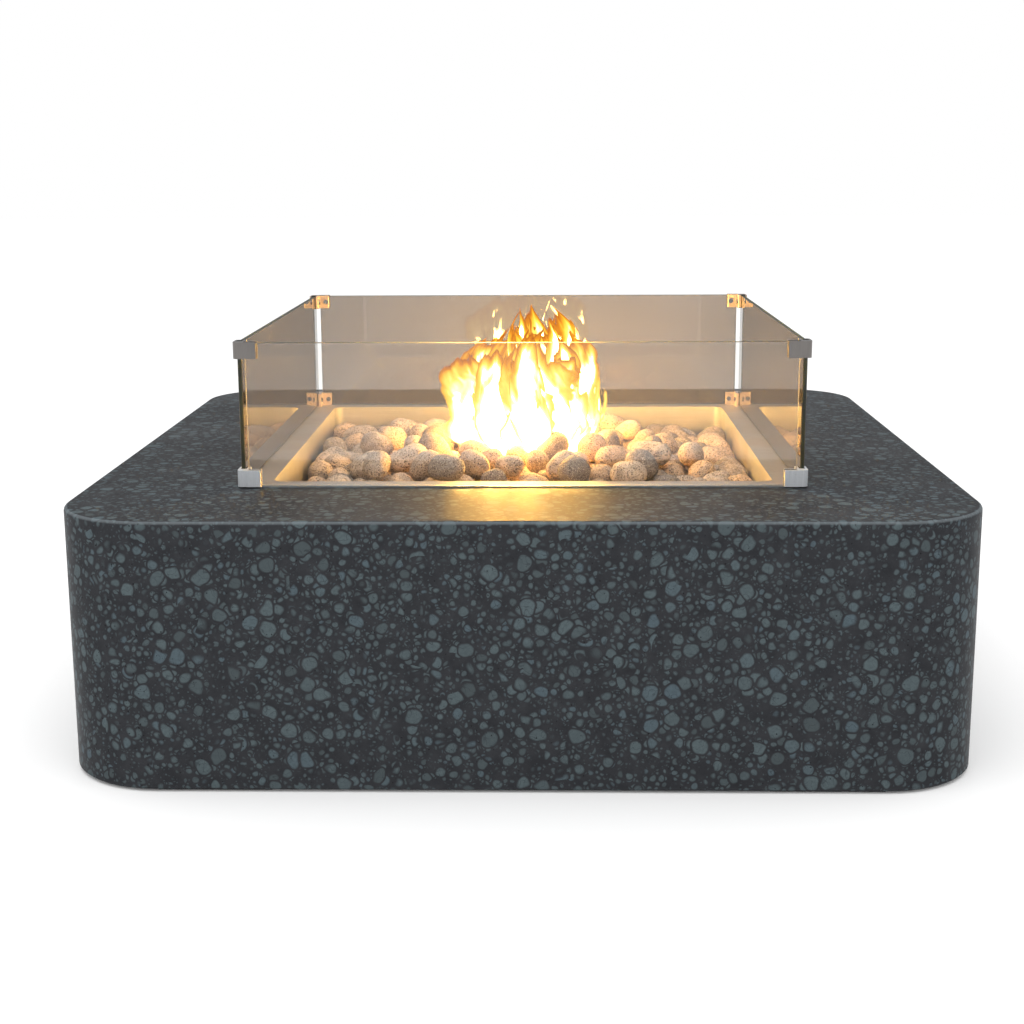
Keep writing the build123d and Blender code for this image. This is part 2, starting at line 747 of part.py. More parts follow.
# Wind guard: four equal panels with open corners, held in slotted corner brackets
glass_offset = guard_half - bracket_outer_wall - gasket_thickness
panel_end = guard_half - slot_start - glass_end_gap
glass_bottom = flange_top + gasket_thickness
glass_height = guard_height - 2 * gasket_thickness
panel_turns = {"front": 0, "right": 90, "rear": 180, "left": 270}

for panel_side, panel_turn in panel_turns.items():
    with BuildPart() as glass_panel:
        with BuildSketch(Plane.XY.offset(glass_bottom).rotated((0, 0, panel_turn))):
            with Locations((0, -glass_offset)):
                Rectangle(2 * panel_end, glass_thickness, align=(Align.CENTER, Align.MIN))
        extrude(amount=glass_height)
        chamfer(glass_panel.edges(), glass_arris)
    write_piece(glass_panel.part, f"glass_panel_{panel_side}")


def corner_plane(turn, upper):
    """A bracket's own plane: the guard's outer corner at the origin, legs along x and y, outer end at z 0."""
    quarter = Plane.XY.rotated((0, 0, turn))
    inward = quarter.x_dir + quarter.y_dir
    level = guard_top if upper else flange_top
    origin = Vector(0, 0, level) - inward * guard_half
    if upper:
        return Plane(origin, x_dir=quarter.y_dir, z_dir=(0, 0, -1))
    return Plane(origin, x_dir=quarter.x_dir, z_dir=(0, 0, 1))


def screw_planes(corner):
    """One plane for each leg of a bracket, on the inner face where its clamp screw sits."""
    along = bracket_leg - screw_end_inset
    level = bracket_height / 2
    first_seat = corner.from_local_coords((along, bracket_depth, level))
    second_seat = corner.from_local_coords((bracket_depth, along, level))
    return (
        Plane(first_seat, x_dir=corner.x_dir, z_dir=corner.y_dir),
        Plane(second_seat, x_dir=corner.y_dir, z_dir=corner.x_dir),
    )


def leg_rectangles(start, near, thickness):
    """The same strip on both legs of a bracket, from start to the leg's end and from near inwards."""
    lowest = (Align.MIN, Align.MIN)
    with Locations((start, near)):
        Rectangle(bracket_leg - start, thickness, align=lowest)
    with Locations((near, start)):
        Rectangle(thickness, bracket_leg - start, align=lowest)


corner_turns = {"front_left": 0, "front_right": 90, "rear_right": 180, "rear_left": 270}
corner_planes = {}
for corner_name, corner_turn in corner_turns.items():
    corner_planes[f"{corner_name}_lower"] = corner_plane(corner_turn, upper=False)
    corner_planes[f"{corner_name}_upper"] = corner_plane(corner_turn, upper=True)

for corner_name, corner in corner_planes.items():
    with BuildPart() as corner_bracket:
        with BuildSketch(corner) as bracket_outline:
            leg_rectangles(0, 0, bracket_depth)
            outer_vertex = bracket_outline.vertices().sort_by_distance((0, 0, 0))[0]
            fillet(outer_vertex, bracket_corner)
            leg_ends = bracket_outline.vertices().sort_by_distance((0, 0, 0))[-4:]
            fillet(leg_ends, bracket_end_radius)
        extrude(amount=bracket_height)
        with BuildSketch(corner):
            leg_rectangles(slot_start, bracket_outer_wall, slot_width)
        extrude(amount=bracket_height, mode=Mode.SUBTRACT)
        for screw_plane in screw_planes(corner):
            with BuildSketch(screw_plane):
                Circle(screw_radius + screw_fit)
            extrude(amount=-bracket_inner_wall, mode=Mode.SUBTRACT)
    write_piece(corner_bracket.part, f"bracket_{corner_name}")

# Gaskets: a rubber channel in every bracket slot, over the panel's edge and along both of its faces
with BuildPart() as glass_gaskets:
    for corner in corner_planes.values():
        with BuildSketch(corner):
            leg_rectangles(slot_start, bracket_outer_wall, slot_width)
        extrude(amount=bracket_height)
        with BuildSketch(corner.offset(gasket_thickness)):
            leg_rectangles(slot_start, bracket_outer_wall + gasket_thickness, glass_thickness)
        extrude(amount=bracket_height, mode=Mode.SUBTRACT)
write_piece(glass_gaskets.part, "glass_gaskets")

# Clamp screws: their tips press the gasket on to the glass
with BuildPart() as clamp_screws:
    for corner in corner_planes.values():
        for screw_plane in screw_planes(corner):
            with BuildSketch(screw_plane):
                Circle(screw_radius)
            extrude(amount=-bracket_inner_wall)
            with BuildSketch(screw_plane):
                Circle(screw_head_radius)
            extrude(amount=screw_head_height)
            with BuildSketch(screw_plane.offset(screw_head_height)):
                RegularPolygon(screw_key_radius, 6)
            extrude(amount=-screw_key_depth, mode=Mode.SUBTRACT)
write_piece(clamp_screws.part, "clamp_screws")


def stone_gaps(ends, radii, first, second):
    """Least distance between pairs of stones, each the hull of two balls, and where along both it lies.

    A stone is the union of balls whose centre and radius run evenly from one end to the other, so the
    distance of a pair is the least, over points along both, of the centre distance less the two radii.
    """
    share = np.linspace(0, 1, stone_samples)
    mix = np.stack([1 - share, share], axis=1)
    centres = np.einsum("ke,nec->nkc", mix, ends)
    sizes = np.einsum("ke,ne->nk", mix, radii)
    apart = centres[first][:, :, None, :] - centres[second][:, None, :, :]
    distance = np.linalg.norm(apart, axis=-1)
    gap = distance - sizes[first][:, :, None] - sizes[second][:, None, :]
    nearest = gap.reshape(len(first), -1).argmin(axis=1)
    along_first, along_second = np.unravel_index(nearest, gap.shape[1:])
    row = np.arange(len(first))
    normal = apart[row, along_first, along_second] / distance[row, along_first, along_second][:, None]
    return gap[row, along_first, along_second], normal, mix[along_first], mix[along_second]


def near_pairs(ends, radii, reach):
    """Index arrays of the pairs of stones whose bounding balls come within reach of each other."""
    middle = ends.mean(axis=1)
    bound = radii.max(axis=1) + np.linalg.norm(ends[:, 1] - ends[:, 0], axis=1) / 2
    apart = np.linalg.norm(middle[:, None] - middle[None], axis=-1)
    close = apart < bound[:, None] + bound[None] + reach
    return np.nonzero(np.triu(close, 1))


def grid_points(pitch, half_width):
    """Staggered rows of points that fill a square of the given half width."""
    row_step = pitch * math.sqrt(3) / 2
    rows = int(2 * half_width / row_step)
    columns = int(2 * half_width / pitch)
    row, column = np.meshgrid(np.arange(rows), np.arange(columns), indexing="ij")
    x = (column + 0.5 * (row % 2) - (columns - 0.5) / 2) * pitch
    y = (row - (rows - 1) / 2) * row_step
    return np.stack([x.ravel(), y.ravel()], axis=1)


def settle_stones():
    """Drops two loose layers of stones on the bed and pushes them apart until none overlap.

    Returns the two end centres and the two end radii of each stone.
    """
    draw = np.random.default_rng(stone_seed)
    tray_half = pan_opening / 2 - stone_clearance
    floor_points = grid_points(stone_pitch, tray_half - stone_edge_margin)
    mound_points = grid_points(mound_pitch, mound_radius)
    mound_points = mound_points[np.hypot(mound_points[:, 0], mound_points[:, 1]) < mound_radius]
    places = np.concatenate([floor_points, mound_points])
    count = len(places)
    radii = np.empty((count, 2))
    radii[:, 0] = draw.uniform(*stone_big_radius, count)
    radii[:, 1] = radii[:, 0] * draw.uniform(*stone_taper, count)
    spine = radii[:, 0] * draw.uniform(*stone_spine, count)
    heading = draw.uniform(0, 2 * math.pi, count)
    tilt = np.radians(draw.uniform(-stone_tilt, stone_tilt, count))
    toward = np.stack([np.cos(heading) * np.cos(tilt), np.sin(heading) * np.cos(tilt), np.sin(tilt)], axis=1)
    middle = np.empty((count, 3))
    middle[:, :2] = places + draw.normal(0, stone_scatter, (count, 2))
    middle[:, 2] = bed_top + stone_big_radius[1]
    middle[len(floor_points):, 2] += 2 * stone_big_radius[1]
    half_spine = toward * (spine / 2)[:, None]
    ends = np.stack([middle - half_spine, middle + half_spine], axis=1)

    def keep_in_tray():
        """Holds both ends over the bed and inside the pan's walls."""
        ends[..., 2] = np.maximum(ends[..., 2], bed_top + radii + stone_clearance)
        limit = (tray_half - radii)[..., None]
        ends[..., :2] = np.clip(ends[..., :2], -limit, limit)

    def keep_length():
        """Brings the two ends of each stone back to their own spacing."""
        span = ends[:, 1] - ends[:, 0]
        length = np.linalg.norm(span, axis=1)
        shift = span * ((length - spine) / (2 * length))[:, None]
        ends[:, 0] += shift
        ends[:, 1] -= shift

    for step in range(falling_steps + resting_steps):
        if step < falling_steps:
            ends[..., 2] -= fall_step
        for _ in range(pushes_per_step):
            first, second = near_pairs(ends, radii, 0)
            gap, normal, mix_first, mix_second = stone_gaps(ends, radii, first, second)
            push = normal * (push_share * np.maximum(stone_clearance - gap, 0))[:, None]
            np.add.at(ends, first, mix_first[..., None] * push[:, None, :])
            np.add.at(ends, second, -mix_second[..., None] * push[:, None, :])
            keep_length()
            keep_in_tray()

    # Every stone is grown or shrunk a little until its nearest neighbour is just clear of it
    for _ in range(growth_steps):
        first, second = near_pairs(ends, radii, 4 * stone_clearance)
        gap = stone_gaps(ends, radii, first, second)[0]
        clear = (ends[..., 2] - radii).min(axis=1) - bed_top
        np.minimum.at(clear, first, gap)
        np.minimum.at(clear, second, gap)
        side = (tray_half + stone_clearance - np.abs(ends[..., :2]).max(axis=2) - radii).min(axis=1)
        clear = np.minimum(clear, side)
        growth = np.clip(clear - stone_clearance, -growth_limit, growth_limit)
        radii += growth_share * growth[:, None]
    return ends, radii


def lava_stone(ends, radii):
    """A tumbled stone: the round hull of two balls, turned about the line through their centres."""
    start = Vector(*ends[0])
    axis = Vector(*(ends[1] - ends[0]))
    spine = axis.length
    lean = math.asin((radii[0] - radii[1]) / spine)
    across = axis.cross(Vector(0.3, 0.5, 0.8)).normalized()
    meet_start = math.pi / 2 - lean
    rim_first = (math.cos(meet_start) * radii[0], math.sin(meet_start) * radii[0])
    rim_second = (spine + math.cos(meet_start) * radii[1], math.sin(meet_start) * radii[1])
    half_first = (math.pi + meet_start) / 2
    half_second = meet_start / 2
    with BuildPart() as stone:
        with BuildSketch(Plane(start, x_dir=axis, z_dir=across)):
            with BuildLine():
                ThreePointArc(
                    (-radii[0], 0),
                    (radii[0] * math.cos(half_first), radii[0] * math.sin(half_first)),
                    rim_first,
                )
                Line(rim_first, rim_second)
                ThreePointArc(
                    rim_second,
                    (spine + radii[1] * math.cos(half_second), radii[1] * math.sin(half_second)),
                    (spine + radii[1], 0),
                )
                Line((spine + radii[1], 0), (-radii[0], 0))
            make_face()
        revolve(axis=Axis(start, axis))
    return stone.part


stone_ends, stone_radii = settle_stones()
lava_stones = Compound(children=[lava_stone(ends, radii) for ends, radii in zip(stone_ends, stone_radii)])
write_piece(lava_stones, "lava_stones")
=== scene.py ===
import math

import bpy
import numpy as np
from mathutils import Matrix, Vector


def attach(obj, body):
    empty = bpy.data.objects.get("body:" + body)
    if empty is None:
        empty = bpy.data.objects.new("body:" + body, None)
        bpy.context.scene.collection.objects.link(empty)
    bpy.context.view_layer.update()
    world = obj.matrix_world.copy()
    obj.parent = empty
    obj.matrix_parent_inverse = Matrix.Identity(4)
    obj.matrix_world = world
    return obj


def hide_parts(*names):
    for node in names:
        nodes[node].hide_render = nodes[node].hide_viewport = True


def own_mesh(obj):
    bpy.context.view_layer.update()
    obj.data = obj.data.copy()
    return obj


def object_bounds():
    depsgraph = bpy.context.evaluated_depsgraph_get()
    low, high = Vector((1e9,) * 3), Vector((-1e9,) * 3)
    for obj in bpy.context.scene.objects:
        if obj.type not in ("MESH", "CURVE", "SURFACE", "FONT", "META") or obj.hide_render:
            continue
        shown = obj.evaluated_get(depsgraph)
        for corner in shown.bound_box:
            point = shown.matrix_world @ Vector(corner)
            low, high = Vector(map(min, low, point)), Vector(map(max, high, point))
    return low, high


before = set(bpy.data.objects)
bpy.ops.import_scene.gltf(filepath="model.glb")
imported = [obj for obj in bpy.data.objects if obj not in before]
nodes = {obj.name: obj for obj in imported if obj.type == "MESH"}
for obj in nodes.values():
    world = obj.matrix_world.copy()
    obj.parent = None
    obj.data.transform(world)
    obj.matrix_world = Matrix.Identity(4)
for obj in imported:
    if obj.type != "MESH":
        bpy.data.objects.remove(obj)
cad_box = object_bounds()
scene = bpy.context.scene
table_top = round(max(corner[2] for corner in nodes["table_shell"].bound_box), 4)
guard_top = round(float(cad_box[1][2]), 4)


# Node trees

class Finish:
    """A material and its Principled shader, with short ways to feed and set the shader."""

    def __init__(self, name):
        self.material = bpy.data.materials.new(name)
        self.material.use_nodes = True
        self.tree = self.material.node_tree
        self.shader = self.tree.nodes["Principled BSDF"]

    def feed(self, socket, source):
        """Joins a source to one of the shader's sockets by name."""
        self.tree.links.new(source, self.shader.inputs[socket])

    def fix(self, **values):
        """Sets plain values on the shader's sockets; underscores stand for spaces."""
        for name, value in values.items():
            self.shader.inputs[name.replace("_", " ")].default_value = value


def add_node(tree, kind, **settings):
    """Adds a node; inputs are given as a dict of name or index to value or source socket."""
    node = tree.nodes.new(kind)
    inputs = settings.pop("inputs", {})
    for name, value in settings.items():
        setattr(node, name, value)
    for key, value in inputs.items():
        if isinstance(value, bpy.types.NodeSocket):
            tree.links.new(value, node.inputs[key])
        else:
            node.inputs[key].default_value = value
    return node


def math_node(tree, operation, *values, clamp=False):
    """A Math node's output for up to three numbers or sources."""
    node = add_node(tree, "ShaderNodeMath", operation=operation, use_clamp=clamp,
                    inputs=dict(enumerate(values)))
    return node.outputs[0]


def smooth_step(tree, value, low, high):
    """0 below low, 1 above high and an even S between them."""
    node = add_node(tree, "ShaderNodeMapRange", interpolation_type="SMOOTHSTEP",
                    inputs={"Value": value, "From Min": low, "From Max": high})
    return node.outputs["Result"]


def blend_colour(tree, share, first, second):
    """A colour that goes from first to second with share."""
    node = add_node(tree, "ShaderNodeMix", data_type="RGBA", clamp_factor=True,
                    inputs={0: share, 6: first, 7: second})
    return node.outputs[2]


def tone_ramp(tree, value, *stops):
    """A colour ramp through (place, colour) stops."""
    node = add_node(tree, "ShaderNodeValToRGB", inputs={0: value})
    ramp = node.color_ramp
    for index, (place, colour) in enumerate(stops):
        element = ramp.elements[index] if index < 2 else ramp.elements.new(place)
        element.position = place
        element.color = colour
    return node.outputs["Color"]


def darker(colour, share):
    """The same colour with its light cut to a share."""
    return tuple(share * part for part in colour[:3]) + (1.0,)


def rgb(red, green, blue):
    """A linear colour from screen values of 0 to 255."""
    parts = np.array([red, green, blue]) / 255
    linear = np.where(parts <= 0.04045, parts / 12.92, ((parts + 0.055) / 1.055) ** 2.4)
    return (*linear.tolist(), 1.0)


def new_group(name, inputs, outputs):
    """An empty shader node group with float or vector inputs and named outputs."""
    group = bpy.data.node_groups.new(name, "ShaderNodeTree")
    for socket_name, kind in inputs:
        group.interface.new_socket(socket_name, in_out="INPUT", socket_type=kind)
    for socket_name, kind in outputs:
        group.interface.new_socket(socket_name, in_out="OUTPUT", socket_type=kind)
    source = group.nodes.new("NodeGroupInput")
    result = group.nodes.new("NodeGroupOutput")
    return group, source.outputs, result.inputs


def object_point(tree):
    """The place on the piece, in metres of the shared frame."""
    return add_node(tree, "ShaderNodeTexCoord").outputs["Object"]


def noise(tree, point, scale, detail=2.0, roughness=0.5, distortion=0.0):
    """Soft noise from 0 to 1."""
    node = add_node(tree, "ShaderNodeTexNoise", inputs={
        "Vector": point, "Scale": scale, "Detail": detail, "Roughness": roughness, "Distortion": distortion})
    return node.outputs["Fac"]


def stretched(tree, point, scale):
    """A point scaled by its own amount along each axis."""
    node = add_node(tree, "ShaderNodeMapping", vector_type="POINT", inputs={"Vector": point, "Scale": scale})
    return node.outputs["Vector"]


# Shared effects

def make_pebble_layer():
    """One size of pebble in the cast: rounded cells, some left out, each with a tone of its own.

    A cell shows where its random number is under Share. Its outline is where the distance to the cell's
    centre stays under a random part of Reach and half the lead over the next centre stays over Gap, with
    the corner between the two rounded off. Halo is the same outline a little wider, for the dark seam.
    """
    group, given, result = new_group(
        "pebble_layer",
        [("Point", "NodeSocketVector"), ("Scale", "NodeSocketFloat"), ("Share", "NodeSocketFloat"),
         ("Reach", "NodeSocketFloat"), ("Gap", "NodeSocketFloat"), ("Softness", "NodeSocketFloat")],
        [("Mask", "NodeSocketFloat"), ("Halo", "NodeSocketFloat"), ("Tone", "NodeSocketFloat")])
    near = add_node(group, "ShaderNodeTexVoronoi", voronoi_dimensions="3D", feature="F1",
                    inputs={"Vector": given["Point"], "Scale": given["Scale"]})
    following = add_node(group, "ShaderNodeTexVoronoi", voronoi_dimensions="3D", feature="F2",
                         inputs={"Vector": given["Point"], "Scale": given["Scale"]})
    split = add_node(group, "ShaderNodeSeparateColor", inputs={0: near.outputs["Color"]})
    shows = math_node(group, "LESS_THAN", split.outputs[0], given["Share"])
    size = math_node(group, "MULTIPLY_ADD", split.outputs[1], 0.36, 0.64)
    inside = math_node(group, "SUBTRACT", math_node(group, "MULTIPLY", given["Reach"], size),
                       near.outputs["Distance"])
    lead = math_node(group, "SUBTRACT", following.outputs["Distance"], near.outputs["Distance"])
    apart = math_node(group, "SUBTRACT", math_node(group, "MULTIPLY", lead, 0.5), given["Gap"])
    depth = math_node(group, "SMOOTH_MIN", inside, apart, 0.16)
    core = smooth_step(group, depth, 0.0, given["Softness"])
    halo = smooth_step(group, depth, -0.09, -0.03)
    group.links.new(math_node(group, "MULTIPLY", shows, core), result["Mask"])
    group.links.new(math_node(group, "MULTIPLY", shows, halo), result["Halo"])
    group.links.new(split.outputs[2], result["Tone"])
    return group


def make_brushed_grain():
    """Fine scratches: noise at two sizes, on a point that the finish has stretched along the scratches."""
    group, given, result = new_group(
        "brushed_grain", [("Point", "NodeSocketVector")],
        [("Height", "NodeSocketFloat"), ("Shade", "NodeSocketFloat")])
    fine = noise(group, given["Point"], 1.0, detail=3.0, roughness=0.65)
    coarse = noise(group, given["Point"], 0.17, detail=2.0)
    height = math_node(group, "ADD", math_node(group, "MULTIPLY", fine, 0.7),
                       math_node(group, "MULTIPLY", coarse, 0.3))
    group.links.new(height, result["Height"])
    group.links.new(smooth_step(group, height, 0.3, 0.7), result["Shade"])
    return group


def make_handling_marks():
    """Soft smudges and dust: slow noise for a film, sharper noise for small marks."""
    group, given, result = new_group(
        "handling_marks", [("Point", "NodeSocketVector"), ("Scale", "NodeSocketFloat")],
        [("Film", "NodeSocketFloat"), ("Marks", "NodeSocketFloat")])
    film = noise(group, given["Point"], given["Scale"], detail=4.0, roughness=0.6)
    close = math_node(group, "MULTIPLY", given["Scale"], 9.0)
    marks = noise(group, given["Point"], close, detail=5.0, roughness=0.7)
    group.links.new(smooth_step(group, film, 0.35, 0.7), result["Film"])
    group.links.new(smooth_step(group, marks, 0.55, 0.72), result["Marks"])
    return group


def make_rock_pores():
    """Pitted rock: small round pits from near cells, crumbly grain from noise, and light specks."""
    group, given, result = new_group(
        "rock_pores", [("Point", "NodeSocketVector"), ("Scale", "NodeSocketFloat")],
        [("Pits", "NodeSocketFloat"), ("Grain", "NodeSocketFloat"), ("Specks", "NodeSocketFloat")])
    cell = add_node(group, "ShaderNodeTexVoronoi", voronoi_dimensions="3D", feature="F1",
                    inputs={"Vector": given["Point"], "Scale": given["Scale"], "Randomness": 1.0})
    split = add_node(group, "ShaderNodeSeparateColor", inputs={0: cell.outputs["Color"]})
    size = math_node(group, "ADD", math_node(group, "MULTIPLY", split.outputs[0], 0.34), 0.18)
    pit = math_node(group, "SUBTRACT", size, cell.outputs["Distance"])
    group.links.new(smooth_step(group, pit, -0.05, 0.2), result["Pits"])
    grain = noise(group, given["Point"], math_node(group, "MULTIPLY", given["Scale"], 0.8), detail=4.0,
                  roughness=0.7)
    group.links.new(grain, result["Grain"])
    specks = noise(group, given["Point"], math_node(group, "MULTIPLY", given["Scale"], 1.7), detail=1.0)
    group.links.new(smooth_step(group, specks, 0.56, 0.68), result["Specks"])
    return group


pebble_layer = make_pebble_layer()
brushed_grain = make_brushed_grain()
handling_marks = make_handling_marks()
rock_pores = make_rock_pores()


def use_group(tree, group, **inputs):
    """A shared effect's outputs for the given numbers and sources."""
    return add_node(tree, "ShaderNodeGroup", node_tree=group, inputs=inputs).outputs


def bump(tree, height, distance, strength=1.0):
    """A normal that follows a height; distance is the relief in metres."""
    node = add_node(tree, "ShaderNodeBump",
                    inputs={"Height": height, "Distance": distance, "Strength": strength})
    return node.outputs["Normal"]


# Finishes

def cast_shell_finish():
    """Dark cast with blue-grey pebbles of six sizes, each ringed by a dark seam, and a painted highlight along
    its top edge.

    The layers go from the smallest pebbles to the largest, so that a large one covers what lies under it.
    Slow noise crowds the large pebbles together in places and thins them out in others.
    """
    f = Finish("cast_shell")
    t = f.tree
    point = object_point(t)
    wobble = add_node(t, "ShaderNodeTexNoise", inputs={"Vector": point, "Scale": 52.0, "Detail": 1.0})
    offset = add_node(t, "ShaderNodeVectorMath", operation="SUBTRACT",
                      inputs={0: wobble.outputs["Color"], 1: (0.5, 0.5, 0.5)})
    bent = add_node(t, "ShaderNodeVectorMath", operation="MULTIPLY_ADD",
                    inputs={0: offset.outputs[0], 1: (0.009, 0.009, 0.009), 2: point}).outputs[0]
    crowd = smooth_step(t, noise(t, point, 16.0, detail=1.0), 0.3, 0.66)
    cloud = noise(t, point, 38.0, detail=4.0, roughness=0.65)
    matrix = tone_ramp(t, cloud, (0.3, rgb(43, 44, 47)), (0.7, rgb(54, 55, 58)))
    mottle = smooth_step(t, noise(t, point, 230.0, detail=3.0, roughness=0.7), 0.3, 0.75)
    colour = matrix
    for cells_per_metre, softness, share, crowding, strength in (
            (240.0, 0.26, 0.5, 0.0, 0.65), (138.0, 0.2, 0.62, 0.0, 0.8), (96.0, 0.17, 0.55, 0.2, 0.88),
            (72.0, 0.15, 0.45, 0.4, 0.94), (55.0, 0.13, 0.32, 0.4, 0.97), (43.0, 0.1, 0.22, 0.38, 1.0)):
        layer = use_group(t, pebble_layer, Point=bent, Scale=cells_per_metre, Reach=0.54, Gap=0.03,
                          Softness=softness, Share=math_node(t, "MULTIPLY_ADD", crowd, crowding, share))
        tone = tone_ramp(t, layer["Tone"], (0.0, rgb(68, 75, 77)), (0.35, rgb(77, 87, 90)),
                         (0.75, rgb(83, 94, 97)), (1.0, rgb(78, 91, 98)))
        tone = blend_colour(t, math_node(t, "MULTIPLY", mottle, 0.5), tone, rgb(62, 70, 74))
        colour = blend_colour(t, layer["Halo"], colour, matrix)
        colour = blend_colour(t, math_node(t, "MULTIPLY", layer["Mask"], strength), colour, tone)
    crack = math_node(t, "ABSOLUTE", math_node(t, "SUBTRACT", noise(t, bent, 64.0, detail=1.0), 0.5))
    cracked = math_node(t, "SUBTRACT", 1.0, smooth_step(t, crack, 0.003, 0.012))
    colour = blend_colour(t, math_node(t, "MULTIPLY", cracked, 0.5), colour, rgb(46, 48, 52))
    # Painted shade: the pin holes are coloured near black, besides the bump that sinks them.
    pin_holes = smooth_step(t, noise(t, point, 310.0, detail=0.0), 0.77, 0.83)
    colour = blend_colour(t, math_node(t, "MULTIPLY", pin_holes, 0.8), colour, rgb(28, 28, 30))
    # Painted highlight: a pale band on the rounded top edge, standing in for light caught along the roundover.
    height = add_node(t, "ShaderNodeSeparateXYZ", inputs={0: point}).outputs[2]
    below_top = smooth_step(t, height, table_top - 0.005, table_top - 0.0018)
    at_top = smooth_step(t, height, table_top - 0.0008, table_top - 0.0001)
    painted_edge_highlight = math_node(t, "MULTIPLY", below_top, math_node(t, "SUBTRACT", 1.0, at_top))
    colour = blend_colour(t, math_node(t, "MULTIPLY", painted_edge_highlight, 0.4), colour, rgb(128, 136, 140))
    f.feed("Base Color", colour)
    marks = use_group(t, handling_marks, Point=point, Scale=3.0)
    f.feed("Roughness", math_node(t, "MULTIPLY_ADD", marks["Film"], 0.08, 0.36))
    f.fix(Specular_IOR_Level=0.028)
    swell = math_node(t, "SUBTRACT", noise(t, point, 26.0, detail=2.0), pin_holes)
    f.feed("Normal", bump(t, swell, 0.0004))
    return f.material


def brushed_steel_finish(name, tint, along, roughness=0.34, warm=None):
    """Satin stainless: scratches along one axis and a faint film of handling; warm is the tint of heat."""
    f = Finish(name)
    t = f.tree
    point = object_point(t)
    scale = [900.0, 900.0, 900.0]
    scale[along] = 14.0
    grain = use_group(t, brushed_grain, Point=stretched(t, point, scale))
    marks = use_group(t, handling_marks, Point=point, Scale=7.0)
    colour = blend_colour(t, grain["Shade"], darker(tint, 0.82), tint)
    colour = blend_colour(t, math_node(t, "MULTIPLY", marks["Film"], 0.18), colour, rgb(150, 140, 130))
    if warm is not None:
        colour = blend_colour(t, math_node(t, "MULTIPLY", marks["Film"], 0.5), colour, warm)
    f.feed("Base Color", colour)
    f.fix(Metallic=1.0)
    f.feed("Roughness", math_node(t, "MULTIPLY_ADD", marks["Film"], 0.08, math_node(
        t, "MULTIPLY_ADD", grain["Height"], 0.12, roughness - 0.08)))
    f.feed("Normal", bump(t, grain["Height"], 0.00006, 0.6))
    return f.material


def bead_blasted_finish(name, tint, roughness, metal=1.0):
    """Satin aluminium: fine even grain over faint upright lines, a little clouded by handling."""
    f = Finish(name)
    t = f.tree
    point = object_point(t)
    grain = noise(t, point, 2600.0, detail=2.0)
    lines = use_group(t, brushed_grain, Point=stretched(t, point, (1400.0, 1400.0, 40.0)))
    marks = use_group(t, handling_marks, Point=point, Scale=22.0)
    colour = blend_colour(t, lines["Shade"], darker(tint, 0.86), tint)
    colour = blend_colour(t, math_node(t, "MULTIPLY", marks["Marks"], 0.12), colour, rgb(120, 118, 116))
    f.feed("Base Color", colour)
    f.fix(Metallic=metal)
    f.feed("Roughness", math_node(t, "MULTIPLY_ADD", marks["Film"], 0.1, roughness))
    f.feed("Normal", bump(t, math_node(t, "ADD", grain, lines["Height"]), 0.00004, 0.5))
    return f.material


def polished_finish(name, tint, roughness=0.14):
    """Polished metal with faint swirl marks and fingerprints in its gloss."""
    f = Finish(name)
    t = f.tree
    point = object_point(t)
    marks = use_group(t, handling_marks, Point=point, Scale=30.0)
    swirl = noise(t, point, 420.0, detail=3.0, distortion=1.5)
    f.feed("Base Color", blend_colour(t, marks["Film"], tint, darker(tint, 0.88)))
    f.fix(Metallic=1.0)
    f.feed("Roughness", math_node(t, "MULTIPLY_ADD", marks["Marks"], 0.12, math_node(
        t, "MULTIPLY_ADD", swirl, 0.06, roughness - 0.03)))
    f.feed("Normal", bump(t, swirl, 0.00003, 0.4))
    return f.material


def brass_finish():
    """Machined brass with tarnish in patches and turning lines."""
    f = Finish("machined_brass")
    t = f.tree
    point = object_point(t)
    marks = use_group(t, handling_marks, Point=point, Scale=40.0)
    lines = use_group(t, brushed_grain, Point=stretched(t, point, (120.0, 120.0, 1500.0)))
    colour = blend_colour(t, lines["Shade"], rgb(176, 138, 70), rgb(205, 170, 98))
    colour = blend_colour(t, math_node(t, "MULTIPLY", marks["Film"], 0.55), colour, rgb(128, 92, 46))
    f.feed("Base Color", colour)
    f.fix(Metallic=1.0)
    f.feed("Roughness", math_node(t, "MULTIPLY_ADD", marks["Film"], 0.2, 0.24))
    f.feed("Normal", bump(t, lines["Height"], 0.00008, 0.5))
    return f.material


def black_pipe_finish():
    """Black mill-scale pipe: dark oxide with a little rust and a rolled grain."""
    f = Finish("black_pipe")
    t = f.tree
    point = object_point(t)
    marks = use_group(t, handling_marks, Point=point, Scale=26.0)
    scale_grain = noise(t, point, 330.0, detail=5.0, roughness=0.7)
    colour = tone_ramp(t, scale_grain, (0.3, rgb(28, 28, 30)), (0.72, rgb(52, 51, 51)))
    rust = math_node(t, "MULTIPLY", marks["Marks"], marks["Film"])
    colour = blend_colour(t, math_node(t, "MULTIPLY", rust, 0.5), colour, rgb(104, 62, 38))
    f.feed("Base Color", colour)
    f.feed("Metallic", math_node(t, "MULTIPLY_ADD", rust, -0.5, 0.55))
    f.feed("Roughness", math_node(t, "MULTIPLY_ADD", scale_grain, 0.25, 0.38))
    f.feed("Normal", bump(t, scale_grain, 0.0002, 0.7))
    return f.material


def moulded_finish(name, tint, roughness):
    """Moulded rubber or plastic: a fine texture under a thin, uneven film of dust."""
    f = Finish(name)
    t = f.tree
    point = object_point(t)
    marks = use_group(t, handling_marks, Point=point, Scale=24.0)
    grain = noise(t, point, 1500.0, detail=2.0)
    dusty = tuple(min(1.0, 1.25 * part + 0.012) for part in tint[:3]) + (1.0,)
    f.feed("Base Color", blend_colour(t, math_node(t, "MULTIPLY", marks["Film"], 0.6), tint, dusty))
    f.feed("Roughness", math_node(t, "MULTIPLY_ADD", marks["Marks"], 0.12, math_node(
        t, "MULTIPLY_ADD", grain, 0.1, roughness - 0.05)))
    f.feed("Normal", bump(t, grain, 0.00008, 0.6))
    return f.material


